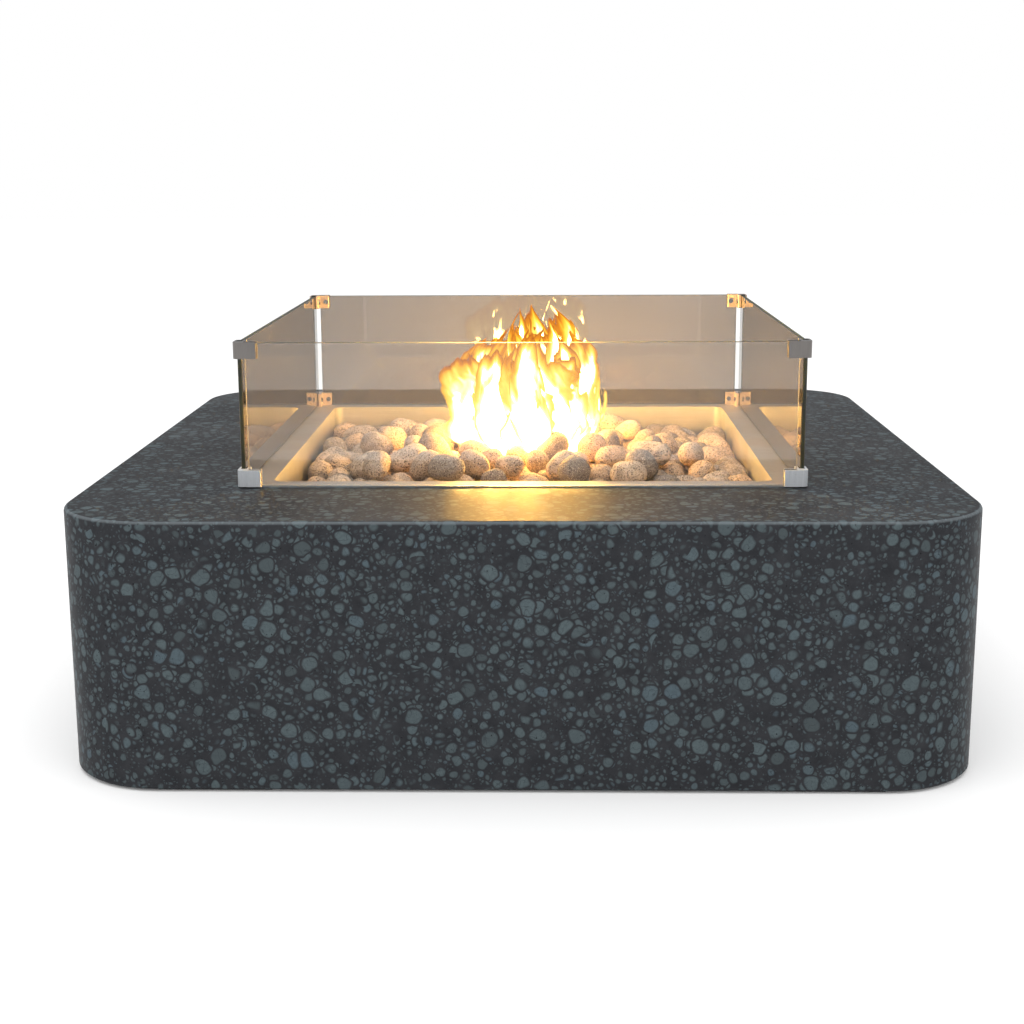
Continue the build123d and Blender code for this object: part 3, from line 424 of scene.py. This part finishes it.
def gravel_finish():
    """Crushed lava gravel: dark, pitted crumbs, one to a cell, with deep gaps between them that are painted
    near black as shade, as are the pits.
    """
    f = Finish("lava_gravel")
    t = f.tree
    point = object_point(t)
    cells = {"Vector": point, "Scale": 120.0}
    crumb = add_node(t, "ShaderNodeTexVoronoi", voronoi_dimensions="3D", feature="F1", inputs=cells)
    gap = add_node(t, "ShaderNodeTexVoronoi", voronoi_dimensions="3D", feature="DISTANCE_TO_EDGE",
                   inputs=cells)
    split = add_node(t, "ShaderNodeSeparateColor", inputs={0: crumb.outputs["Color"]})
    pores = use_group(t, rock_pores, Point=point, Scale=520.0)
    tone = tone_ramp(t, split.outputs[0], (0.0, rgb(44, 38, 36)), (0.6, rgb(66, 58, 54)),
                     (1.0, rgb(92, 74, 64)))
    open_gap = smooth_step(t, gap.outputs["Distance"], 0.0, 0.14)
    # Painted shade: the gaps between crumbs and the pits are coloured near black, besides the bump that sinks
    # them.
    colour = blend_colour(t, open_gap, rgb(18, 16, 15), tone)
    colour = blend_colour(t, math_node(t, "MULTIPLY", pores["Pits"], 0.6), colour, rgb(20, 18, 17))
    f.feed("Base Color", colour)
    f.fix(Roughness=0.92)
    height = math_node(t, "MULTIPLY_ADD", pores["Pits"], -0.3, open_gap)
    f.feed("Normal", bump(t, height, 0.003))
    return f.material


def lava_stone_finish():
    """Tumbled lava: warm grey, finely pitted and speckled, each stone a little lighter, darker or browner, with
    painted shade darkening its pits.
    """
    f = Finish("lava_stone")
    t = f.tree
    point = object_point(t)
    tone = add_node(t, "ShaderNodeAttribute", attribute_name="tone").outputs["Fac"]
    pores = use_group(t, rock_pores, Point=point, Scale=350.0)
    fine = use_group(t, rock_pores, Point=point, Scale=520.0)
    ground = tone_ramp(t, tone, (0.0, rgb(122, 112, 103)), (0.35, rgb(180, 162, 144)),
                       (0.7, rgb(230, 207, 182)), (1.0, rgb(232, 196, 157)))
    cloud = smooth_step(t, noise(t, point, 60.0, detail=3.0), 0.35, 0.7)
    colour = blend_colour(t, math_node(t, "MULTIPLY", cloud, 0.5), ground, rgb(146, 131, 118))
    colour = blend_colour(t, math_node(t, "MULTIPLY", fine["Specks"], 0.8), colour, rgb(246, 234, 218))
    # Painted shade: the fine and the larger pits are coloured darker, besides the bump that sinks them.
    colour = blend_colour(t, math_node(t, "MULTIPLY", fine["Pits"], 0.6), colour, rgb(104, 91, 81))
    colour = blend_colour(t, math_node(t, "MULTIPLY", pores["Pits"], 0.72), colour, rgb(72, 62, 56))
    f.feed("Base Color", colour)
    f.fix(Roughness=0.85)
    height = math_node(t, "MULTIPLY_ADD", pores["Pits"], -1.0, math_node(t, "MULTIPLY", fine["Pits"], -0.45))
    height = math_node(t, "MULTIPLY_ADD", pores["Grain"], 0.5, height)
    f.feed("Normal", bump(t, height, 0.0012))
    return f.material


def guard_glass_finish(name, face_axis, tint, clarity, sheen, slant_share):
    """Guard glass with dark green ground edges; face_axis is the panel's thin direction.

    At a slant its tint is cut to slant_share. Light from the lamp, the sky and the flame passes straight
    through it with the tint, so that the stones behind it are lit.
    """
    f = Finish(name)
    t = f.tree
    normal = add_node(t, "ShaderNodeNewGeometry").outputs["Normal"]
    split = add_node(t, "ShaderNodeSeparateXYZ", inputs={0: normal})
    facing = math_node(t, "ABSOLUTE", split.outputs[face_axis])
    cut_edge = math_node(t, "SUBTRACT", 1.0, smooth_step(t, facing, 0.6, 0.9))
    haze = noise(t, object_point(t), 6.0, detail=3.0)
    face = tone_ramp(t, haze, (0.3, darker(tint, 0.93)), (0.7, tint))
    slant = add_node(t, "ShaderNodeLayerWeight", inputs={"Blend": 0.5}).outputs["Facing"]
    face = blend_colour(t, smooth_step(t, slant, 0.5, 0.85), face, darker(tint, slant_share))
    f.feed("Base Color", blend_colour(t, cut_edge, face, (0.012, 0.03, 0.014, 1.0)))
    f.feed("Roughness", math_node(t, "MULTIPLY", cut_edge, 0.5))
    f.fix(Transmission_Weight=clarity, IOR=1.5, Specular_IOR_Level=sheen)
    path = add_node(t, "ShaderNodeLightPath")
    lights = math_node(t, "MAXIMUM", path.outputs["Is Shadow Ray"], path.outputs["Is Diffuse Ray"])
    clear = add_node(t, "ShaderNodeBsdfTransparent", inputs={0: tint})
    mix = add_node(t, "ShaderNodeMixShader", inputs={0: lights, 1: f.shader.outputs[0], 2: clear.outputs[0]})
    t.links.new(mix.outputs[0], t.nodes["Material Output"].inputs["Surface"])
    return f.material


def flame_finish():
    """Burning gas: white heat inside each tongue, gold towards its edge and orange where it breaks up.

    The heat is the distance from the tongue's edge, bent by two sizes of noise and less what is spent on the
    way up. Alpha cuts the tongue off where the heat runs out, and the ramp turns heat into colour.
    """
    f = Finish("gas_flame")
    t = f.tree
    spot = add_node(t, "ShaderNodeUVMap", uv_map="tongue").outputs["UV"]
    split = add_node(t, "ShaderNodeSeparateXYZ", inputs={0: spot})
    side, rise = split.outputs[0], split.outputs[1]
    chance = add_node(t, "ShaderNodeAttribute", attribute_name="tongue_chance").outputs["Fac"]
    across = math_node(t, "ABSOLUTE", math_node(t, "MULTIPLY_ADD", side, 2.0, -1.0))
    from_edge = math_node(t, "SUBTRACT", 1.0, across)
    flow = add_node(t, "ShaderNodeCombineXYZ", inputs={
        0: math_node(t, "MULTIPLY", side, 1.9), 1: math_node(t, "MULTIPLY", rise, 1.6),
        2: math_node(t, "MULTIPLY", chance, 60.0)}).outputs[0]
    lick = noise(t, flow, 1.5, detail=1.0, distortion=0.7)
    wisp = noise(t, flow, 4.0, detail=1.0, distortion=1.0)
    ragged = math_node(t, "MULTIPLY_ADD", lick, 1.9, math_node(t, "MULTIPLY_ADD", wisp, 0.5, -1.2))
    broken = math_node(t, "MULTIPLY", ragged, math_node(t, "MULTIPLY_ADD", rise, 0.6, 0.5))
    heat = math_node(t, "MULTIPLY_ADD", from_edge, 0.9, broken)
    spent = math_node(t, "MULTIPLY_ADD", smooth_step(t, rise, 0.8, 1.0), 0.5,
                      math_node(t, "MULTIPLY", math_node(t, "POWER", rise, 2.2), 0.45))
    heat = math_node(t, "SUBTRACT", heat, spent)
    foot = smooth_step(t, rise, 0.0, 0.1)
    f.feed("Alpha", math_node(t, "MULTIPLY", foot, smooth_step(t, heat, 0.03, 0.13)))
    warmth = math_node(t, "MULTIPLY_ADD", smooth_step(t, rise, 0.0, 0.6), -0.25, 0.25)
    cooling = math_node(t, "MULTIPLY_ADD", smooth_step(t, rise, 0.45, 1.0), 0.42, -0.3)
    cooled = math_node(t, "SUBTRACT", math_node(t, "ADD", heat, warmth), cooling)
    colour = tone_ramp(t, cooled, (0.0, (0.0022, 0.0006, 0.0001, 1)), (0.22, (0.0036, 0.0013, 0.0001, 1)),
                       (0.36, (0.0050, 0.0026, 0.0002, 1)), (0.56, (0.0062, 0.0042, 0.0007, 1)),
                       (0.72, (0.013, 0.0098, 0.004, 1)), (0.9, (1.0, 0.54, 0.11, 1)))
    f.feed("Emission Color", colour)
    f.fix(Base_Color=(0.0, 0.0, 0.0, 1.0), Roughness=1.0, Specular_IOR_Level=0.0, Emission_Strength=260.0)
    return f.material


# Shapes

def grid_faces(rows, columns, wrap):
    """Corner indices of the quads of a rows by columns grid; wrap joins the last column to the first."""
    row, column = np.meshgrid(np.arange(rows - 1), np.arange(columns if wrap else columns - 1), indexing="ij")
    after = (column + 1) % columns
    quads = np.stack([row * columns + column, row * columns + after,
                      (row + 1) * columns + after, (row + 1) * columns + column], axis=-1)
    return quads.reshape(-1, 4)


def repeat_faces(faces, copies, stride):
    """The faces of copies that lie one after the other, stride points apart."""
    return (faces[None] + (np.arange(copies) * stride)[:, None, None]).reshape(-1, 4)


def mesh_piece(name, points, faces, material, body):
    """Makes an object at the origin from point and face arrays and lets it ride on a body."""
    mesh = bpy.data.meshes.new(name)
    mesh.from_pydata(points.reshape(-1, 3).tolist(), [], faces.tolist())
    mesh.materials.append(material)
    mesh.polygons.foreach_set("use_smooth", np.ones(len(mesh.polygons), bool))
    mesh.update()
    piece = bpy.data.objects.new(name, mesh)
    scene.collection.objects.link(piece)
    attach(piece, body)
    return piece


def point_attribute(piece, name, values):
    """Stores one number per vertex."""
    attribute = piece.data.attributes.new(name, "FLOAT", "POINT")
    attribute.data.foreach_set("value", np.asarray(values, np.float32).ravel())


def stone_islands(node):
    """The triangles of a node of separate solids, as corner points, grouped by solid.

    Corners at the same place are made one point, then every point takes the lowest number among its
    neighbours until nothing changes, so that all points of one solid share a number.
    """
    mesh = node.data
    mesh.calc_loop_triangles()
    points = np.empty(len(mesh.vertices) * 3, np.float32)
    mesh.vertices.foreach_get("co", points)
    points = points.reshape(-1, 3)
    corners = np.empty(len(mesh.loop_triangles) * 3, np.int32)
    mesh.loop_triangles.foreach_get("vertices", corners)
    corners = corners.reshape(-1, 3)
    place = np.unique(np.round(points * 1e6).astype(np.int64), axis=0, return_inverse=True)[1].ravel()
    tied = place[corners]
    label = np.arange(place.max() + 1)
    while True:
        lowest = label[tied].min(axis=1)
        changed = label.copy()
        for corner in range(3):
            np.minimum.at(changed, tied[:, corner], lowest)
        changed = changed[changed]
        if np.array_equal(changed, label):
            break
        label = changed
    owner = label[tied[:, 0]]
    triangles = points[corners].astype(float)
    return [triangles[owner == one] for one in np.unique(owner)]


def tumbled_stones(node, rings=11, sides=18):
    """Tumbled stones in place of the plain ones.

    Each is the plain one's own reach along a grid of directions, changed by three slow waves, from a little
    fuller to rather more rubbed down, and flattened along one cross axis.

    The reach of a convex solid along a direction is the least, over the faces it leaves through, of the
    face's distance from the centre over the cosine between its normal and the direction.
    """
    fullest, deepest_wear = 1.035, 0.11
    flattest, least_flat = 0.8, 0.97
    draw = np.random.default_rng(23)
    latitude = np.linspace(0, math.pi, rings)[:, None]
    longitude = np.arange(sides) * 2 * math.pi / sides
    ball = np.stack(np.broadcast_arrays(np.cos(latitude), np.sin(latitude) * np.cos(longitude),
                                        np.sin(latitude) * np.sin(longitude)), axis=-1)
    every_point, tones = [], []
    for triangles in stone_islands(node):
        first, second, third = triangles[:, 0], triangles[:, 1], triangles[:, 2]
        normal = np.cross(second - first, third - first)
        area = np.linalg.norm(normal, axis=1)
        solid = area > 1e-12
        normal = normal[solid] / area[solid][:, None]
        weight = area[solid] / area[solid].sum()
        middle = triangles[solid].mean(axis=1)
        centre = (middle * weight[:, None]).sum(axis=0)
        spread = ((middle - centre) * weight[:, None]).T @ (middle - centre)
        axes = np.linalg.eigh(spread)[1][:, ::-1]
        turn = draw.uniform(0, math.pi)
        cross_axis = math.cos(turn) * axes[:, 1] + math.sin(turn) * axes[:, 2]
        axes = np.stack([axes[:, 0], cross_axis, np.cross(axes[:, 0], cross_axis)], axis=1)
        direction = ball.reshape(-1, 3) @ axes.T
        face_distance = ((middle - centre) * normal).sum(axis=1)
        cosine = direction @ normal.T
        reach = np.where(cosine > 1e-6, face_distance / np.maximum(cosine, 1e-6), np.inf).min(axis=1)
        waves = draw.normal(0, 2.1, (3, 3))
        phase = draw.uniform(0, 2 * math.pi, 3)
        wear = (np.sin(direction @ waves.T + phase) * 0.5 + 0.5).mean(axis=1)
        surface = direction * (reach * (fullest - deepest_wear * wear))[:, None]
        flat = draw.uniform(flattest, least_flat)
        surface += np.outer(surface @ axes[:, 2], axes[:, 2]) * (flat - 1)
        every_point.append(centre + surface)
        tones.append(np.full(len(surface), draw.uniform()))
    faces = repeat_faces(grid_faces(rings, sides, wrap=True)[:, ::-1], len(every_point), rings * sides)
    piece = mesh_piece("tumbled_stones", np.concatenate(every_point), faces, lava_stone_finish(), "base")
    point_attribute(piece, "tone", np.concatenate(tones))
    return piece


def gas_flame(tongues=28, steps=32, strips=10):
    """Tongues of burning gas, one sheet each, set out round the burner's middle like a sunflower's seeds.

    A sheet's centre line rises among the stones, leans out at first and then draws in, with a sway that grows
    with height. Its half width swells over the first third, keeps its size and closes at the tip. The sheet
    twists on the way up and is bent into a shallow trough.
    """
    foot_height = table_top - 0.017
    tip_height = guard_top + 0.035
    edge_drop, chance_drop = 0.05, 0.05
    spread = 0.1
    off_middle = 0.006
    golden_angle = 2.39996
    least_sway, more_sway = 0.010, 0.03
    least_half_width, more_half_width = 0.036, 0.034
    draw = np.random.default_rng(5)
    rise = np.linspace(0, 1, steps)[None, :]
    side = np.linspace(-1, 1, strips)[None, None, :]
    chance = draw.uniform(0, 1, (5, tongues, 1))
    away = spread * np.sqrt(np.linspace(0.03, 1, tongues))[:, None]
    bearing = (np.arange(tongues) * golden_angle)[:, None]
    peak = tip_height - edge_drop * (away / spread) ** 1.6 - chance_drop * chance[0] ** 1.3
    height = foot_height + (peak - foot_height) * rise
    draw_in = (0.72 + 0.28 * np.sin(math.pi / 2 * np.clip(rise / 0.3, 0, 1))) * (1 - 0.35 * rise ** 1.5)
    sway = (least_sway + more_sway * chance[1]) * rise
    angle = 2 * math.pi * (chance[2] + (0.5 + 0.7 * chance[3]) * rise)
    middle_x = off_middle + away * np.cos(bearing) * draw_in + sway * np.cos(angle)
    middle_y = away * np.sin(bearing) * draw_in + 0.7 * sway * np.sin(angle + 1.0)
    swell = np.clip(rise / 0.3, 0, 1)
    swell = swell * swell * (3 - 2 * swell)
    half_width = (least_half_width + more_half_width * chance[4]) * (0.5 + 0.5 * swell) * (1 - rise ** 5) ** 0.5
    facing = 2 * math.pi * draw.uniform(0, 1, (tongues, 1)) + 1.3 * (chance[0] - 0.5) * rise
    bulge = np.where(chance[3] > 0.5, 0.4, -0.4)
    out = half_width[:, :, None] * side
    bend = half_width[:, :, None] * bulge[:, :, None] * side ** 2
    turn_x, turn_y = np.cos(facing)[:, :, None], np.sin(facing)[:, :, None]
    x = middle_x[:, :, None] + out * turn_x - bend * turn_y
    y = middle_y[:, :, None] + out * turn_y + bend * turn_x
    z = np.broadcast_to(height[:, :, None], x.shape)
    points = np.stack([x, y, z], axis=-1)
    faces = repeat_faces(grid_faces(steps, strips, wrap=False), tongues, steps * strips)
    piece = mesh_piece("gas_flame", points, faces, flame_finish(), "base")
    spot = np.stack(np.broadcast_arrays(side[0] * 0.5 + 0.5, rise[0][:, None]), axis=-1)
    spot = np.broadcast_to(spot[None], (tongues, steps, strips, 2)).reshape(-1, 2)
    corner = np.empty(len(piece.data.loops), np.int32)
    piece.data.loops.foreach_get("vertex_index", corner)
    layer = piece.data.uv_layers.new(name="tongue")
    layer.uv.foreach_set("vector", spot[corner].astype(np.float32).ravel())
    number = np.broadcast_to(draw.uniform(0, 1, (tongues, 1)), (tongues, steps * strips))
    point_attribute(piece, "tongue_chance", number)
    return piece


# Dress the CAD nodes

def dress(material, *names):
    """Gives CAD nodes a finish."""
    for name in names:
        mesh = nodes[name].data
        mesh.materials.clear()
        mesh.materials.append(material)


steel = rgb(196, 186, 176)
dress(cast_shell_finish(), "table_shell")
dress(brushed_steel_finish("pan_steel", rgb(232, 235, 240), 0, 0.4, warm=rgb(222, 214, 208)), "fire_pan")
dress(brushed_steel_finish("burner_steel", rgb(150, 138, 126), 2, 0.42, warm=rgb(120, 90, 70)),
      "burner_ring", "burner_saddles")
dress(brushed_steel_finish("door_steel", steel, 0), "door_frame", "door_leaf")
dress(brushed_steel_finish("grille_steel", steel, 1), "vent_grille_left", "vent_grille_right")
dress(gravel_finish(), "lava_gravel_bed")
dress(brass_finish(), "nipple_nut", "valve_body", "valve_retainer", "valve_nut", "valve_stem")
dress(black_pipe_finish(), "burner_nipple", "burner_elbow", "valve_elbow", "feed_pipe")
polished = polished_finish("polished_steel", rgb(172, 170, 167))
dress(polished, "valve_ball", "escutcheon", "pivot_pins", "door_pull", "strike_plate", "clamp_screws")
dress(moulded_finish("pale_plastic", rgb(216, 212, 204), 0.45), "valve_seats", "pivot_bushes")
dress(moulded_finish("dark_plastic", rgb(40, 40, 41), 0.5), "magnet_catch")
dress(moulded_finish("black_rubber", rgb(26, 26, 27), 0.75), "foot_pads", "glass_gaskets")
clear_tint = (0.94, 0.92, 0.89, 1.0)
# Painted shade: the rear and side panes get a darker tint, a haze (clarity under 1) and a deeper tint at a
# slant, which the front pane of the same guard doesn't, for the darker surroundings seen through them.
painted_shade_tint = (0.3, 0.28, 0.262, 1.0)
dress(guard_glass_finish("glass_front", 1, clear_tint, clarity=1.0, sheen=0.25, slant_share=0.9),
      "glass_panel_front")
dress(guard_glass_finish("glass_rear", 1, painted_shade_tint, clarity=0.88, sheen=0.5, slant_share=0.3),
      "glass_panel_rear")
dress(guard_glass_finish("glass_sides", 0, painted_shade_tint, clarity=0.88, sheen=0.8, slant_share=0.3),
      "glass_panel_left", "glass_panel_right")
dress(bead_blasted_finish("bracket_satin", rgb(226, 230, 234), 0.4, metal=0.55),
      "bracket_front_left_lower", "bracket_front_right_lower")
# Painted shade: the upper front brackets, the same satin aluminium as the lower ones, get a darker tint for the
# shade they stand in.
dress(bead_blasted_finish("bracket_satin_painted_shade", rgb(132, 128, 125), 0.3),
      "bracket_front_left_upper", "bracket_front_right_upper")
# Painted light: the rear brackets, the same satin aluminium, get a warm tint for the flame's glow falling on
# them.
dress(bead_blasted_finish("bracket_satin_painted_flame_glow", rgb(206, 190, 178), 0.36, metal=0.8),
      *[f"bracket_rear_{hand}_{level}" for hand in ("left", "right") for level in ("lower", "upper")])

# New pieces

stones = tumbled_stones(nodes["lava_stones"])
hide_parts("lava_stones")

flame = gas_flame()
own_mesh(flame)


# Floor, light and camera

def pale_floor():
    """A wide pale floor that keeps the contact shadow; where it is seen it is lifted towards plain white."""
    far = 20.0
    mesh = bpy.data.meshes.new("floor")
    mesh.from_pydata([(-far, -far, 0), (far, -far, 0), (far, far, 0), (-far, far, 0)], [], [(0, 1, 2, 3)])
    floor = bpy.data.objects.new("floor", mesh)
    scene.collection.objects.link(floor)
    f = Finish("pale_floor")
    t = f.tree
    path = add_node(t, "ShaderNodeLightPath")
    seen = math_node(t, "MAXIMUM", path.outputs["Is Camera Ray"], path.outputs["Is Glossy Ray"])
    seen = math_node(t, "MAXIMUM", seen, path.outputs["Is Transmission Ray"])
    f.fix(Base_Color=(0.9, 0.9, 0.9, 1.0), Roughness=1.0, Specular_IOR_Level=0.0, Emission_Strength=0.08)
    f.feed("Emission Color", blend_colour(t, seen, (0, 0, 0, 1), (1, 1, 1, 1)))
    mesh.materials.append(f.material)


def soft_light():
    """An even white surround, dimmer where it is mirrored, and one broad soft lamp above the front left."""
    lights, shows, mirrors = 1.12, 1.0, 0.54
    world = bpy.data.worlds.new("white_surround")
    scene.world = world
    world.use_nodes = True
    tree = world.node_tree
    path = add_node(tree, "ShaderNodeLightPath")
    through = path.outputs["Is Transmission Ray"]
    seen = math_node(tree, "MAXIMUM", path.outputs["Is Camera Ray"], through)
    mirrored = math_node(tree, "SUBTRACT", path.outputs["Is Glossy Ray"], through, clamp=True)
    strength = math_node(tree, "MULTIPLY_ADD", mirrored, mirrors - lights, lights)
    strength = math_node(tree, "MULTIPLY_ADD", seen, shows - lights, strength)
    back = tree.nodes["Background"]
    back.inputs["Color"].default_value = (1, 1, 1, 1)
    tree.links.new(strength, back.inputs["Strength"])
    lamp = bpy.data.lights.new("soft_lamp", "AREA")
    lamp.shape = "DISK"
    lamp.size = 4.0
    lamp.energy = 45
    holder = bpy.data.objects.new("soft_lamp", lamp)
    scene.collection.objects.link(holder)
    holder.location = (-0.5, -1.4, 3.6)
    aim = Vector((0, 0, 0.3)) - holder.location
    holder.rotation_euler = aim.to_track_quat("-Z", "Y").to_euler()


def photo_camera():
    """The camera at the photograph's place: a little right of the middle, looking slightly left and down."""
    place = Vector((0.03525, -2.63758, 0.81113))
    yaw, pitch, roll = math.radians(-1.250), math.radians(12.141), math.radians(-0.268)
    right = Vector((math.cos(yaw), -math.sin(yaw), 0))
    level = Vector((math.sin(yaw), math.cos(yaw), 0))
    ahead = level * math.cos(pitch) - Vector((0, 0, math.sin(pitch)))
    above = level * math.sin(pitch) + Vector((0, 0, math.cos(pitch)))
    across = right * math.cos(roll) + above * math.sin(roll)
    upward = above * math.cos(roll) - right * math.sin(roll)
    data = bpy.data.cameras.new("camera")
    data.sensor_width = 36
    data.lens = 58.123
    camera = bpy.data.objects.new("camera", data)
    scene.collection.objects.link(camera)
    turn = Matrix((across, upward, -ahead)).transposed().to_4x4()
    camera.matrix_world = Matrix.Translation(place) @ turn
    scene.camera = camera


pale_floor()
soft_light()
photo_camera()
scene.view_settings.view_transform = "Standard"
